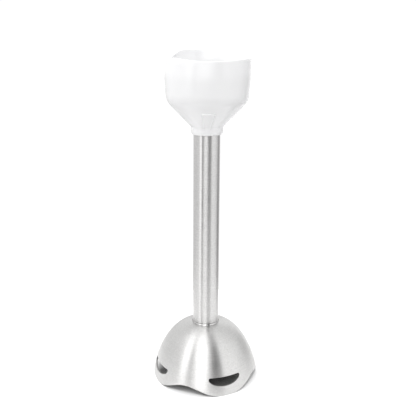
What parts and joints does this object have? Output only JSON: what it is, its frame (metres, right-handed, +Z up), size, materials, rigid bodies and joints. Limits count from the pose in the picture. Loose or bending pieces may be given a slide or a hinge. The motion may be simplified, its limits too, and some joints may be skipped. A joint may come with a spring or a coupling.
{
  "type": "immersion blender shaft",
  "caption": "Detachable blending shaft: white plastic coupling cup, stainless tube, and vented stainless bell round a blade.",
  "frame": {"origin": "centre of the plane that the bell's four lobes stand on", "axes": "+Z up along the tube towards the coupling cup; the lobes and vents lie on the X and Y axes"},
  "size_m": [0.0696, 0.0696, 0.2148],
  "materials": {
    "white_plastic": "gloss moulded",
    "dark_plastic": "satin moulded",
    "stainless_tube": "brushed round the axis",
    "stainless_bell": "brushed round the axis",
    "blade_steel": "ground",
    "hardware_steel": "turned",
    "bronze": "sintered",
    "rubber": "moulded"
  },
  "bodies": {
    "housing": {"coupling_cup": "white_plastic", "coupling_socket": "white_plastic", "socket_screw_1": "hardware_steel", "socket_screw_2": "hardware_steel", "socket_screw_3": "hardware_steel", "tube_o_ring": "rubber", "shaft_tube": "stainless_tube", "bell_guard": "stainless_bell", "upper_bearing_carrier": "dark_plastic", "upper_bush": "bronze", "middle_bearing_carrier": "dark_plastic", "middle_bush": "bronze", "bearing_housing": "dark_plastic", "housing_o_ring": "rubber", "lower_bush": "bronze", "lip_seal": "rubber", "seal_retainer": "hardware_steel"},
    "drive_train": {"drive_shaft": "hardware_steel", "drive_coupling": "dark_plastic", "coupling_pin": "hardware_steel", "retaining_clip": "hardware_steel", "upper_thrust_washer": "hardware_steel", "lower_thrust_washer": "bronze", "blade_hub": "blade_steel", "blade": "blade_steel", "blade_nut": "blade_steel"}
  },
  "joints": [
    {"name": "drive_spin", "type": "hinge", "parent": "housing", "child": "drive_train", "pos_m": [0, 0, 0.0095], "axis": [0, 0, 1], "continuous": true}
  ]
}
